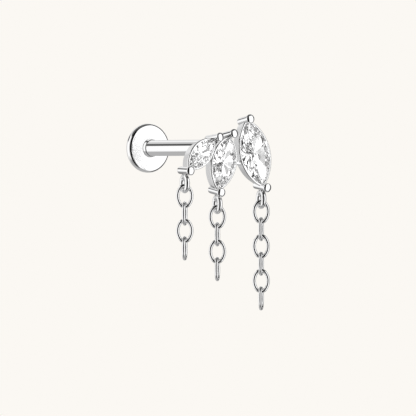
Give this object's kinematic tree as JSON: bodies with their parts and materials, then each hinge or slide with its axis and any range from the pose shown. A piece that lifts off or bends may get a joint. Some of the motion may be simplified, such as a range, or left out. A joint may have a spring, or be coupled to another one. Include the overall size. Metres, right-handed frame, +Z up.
{
  "type": "tassel earring",
  "caption": "Flat-back ear stud in white metal: a fan of marquise-cut clear stones in open-backed cups, with a short cable chain hanging from each stone's lower prong.",
  "frame": {"origin": "on the post's axis at the front of the ear, where the setting's back meets the post's end", "axes": "+Y along the post into the ear, towards the flat back; the stones face -Y; +Z is up and the chains hang down; +X is to the right, seen from the front"},
  "size_m": [0.0082, 0.0104, 0.0147],
  "materials": {
    "polished_silver": "polished",
    "clear_stone": "faceted"
  },
  "bodies": {
    "back": {"flat_back_post": "polished_silver"},
    "front": {"setting": "polished_silver", "small_stone": "clear_stone", "middle_stone": "clear_stone", "large_stone": "clear_stone", "small_chain_link_1": "polished_silver", "small_chain_link_2": "polished_silver", "small_chain_link_3": "polished_silver", "small_chain_link_4": "polished_silver", "middle_chain_link_1": "polished_silver", "middle_chain_link_2": "polished_silver", "middle_chain_link_3": "polished_silver", "middle_chain_link_4": "polished_silver", "large_chain_link_1": "polished_silver", "large_chain_link_2": "polished_silver", "large_chain_link_3": "polished_silver", "large_chain_link_4": "polished_silver", "large_chain_link_5": "polished_silver", "large_chain_link_6": "polished_silver"}
  },
  "joints": [
    {"name": "front_pull", "type": "slide", "parent": "back", "child": "front", "axis": [0, -1, 0], "range_m": [0, 0.012]}
  ]
}
